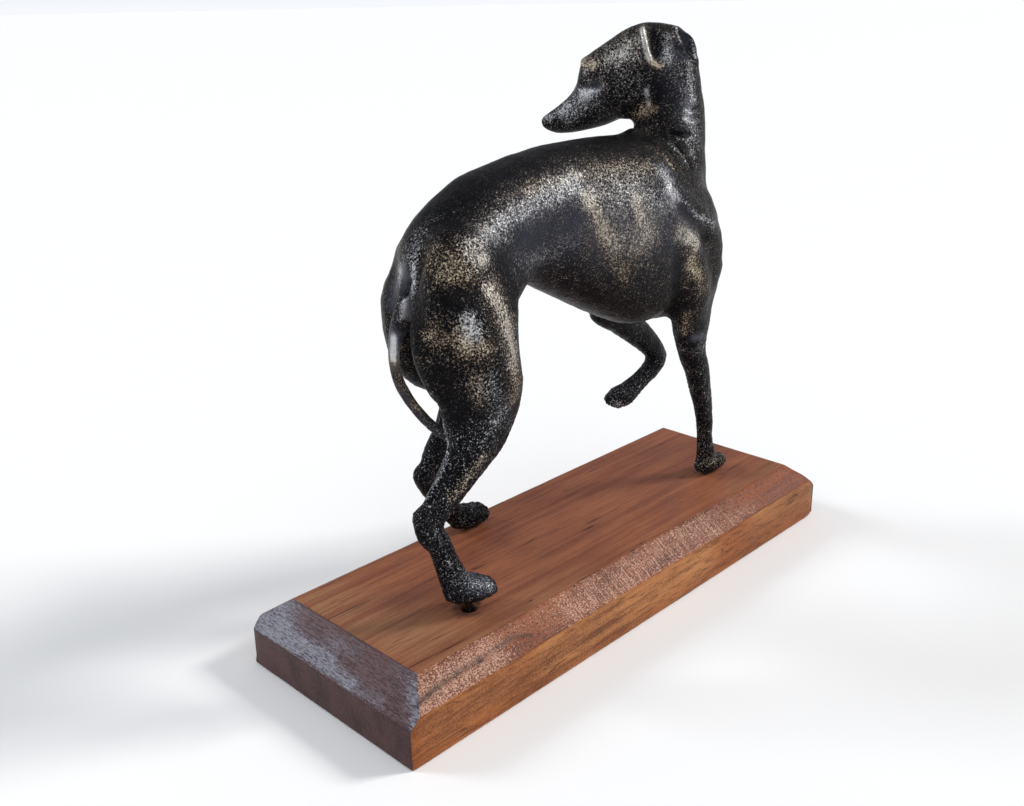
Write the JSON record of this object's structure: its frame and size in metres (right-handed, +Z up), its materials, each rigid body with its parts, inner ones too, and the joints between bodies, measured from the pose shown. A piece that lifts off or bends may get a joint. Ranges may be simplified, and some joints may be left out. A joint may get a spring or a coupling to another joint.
{
  "type": "cast iron dog statue",
  "caption": "Cast iron greyhound statue looking back over its shoulder with a fore paw raised, fixed on a chamfered wooden base.",
  "frame": {"origin": "centre of the wooden base's underside", "axes": "+X along the base, the way the dog's chest points; +Y towards the dog's left; +Z up"},
  "size_m": [0.22, 0.079, 0.1944],
  "materials": {
    "blackened_iron": "granular blackened casting, rubbed to warm bronze and grey on the raised places",
    "varnished_wood": "reddish brown hardwood under thin satin varnish",
    "dark_steel": "darkened, dull"
  },
  "bodies": {
    "root": {"cast_iron_dog": "blackened_iron", "wooden_base": "varnished_wood", "mounting_stud": "dark_steel"}
  },
  "joints": []
}
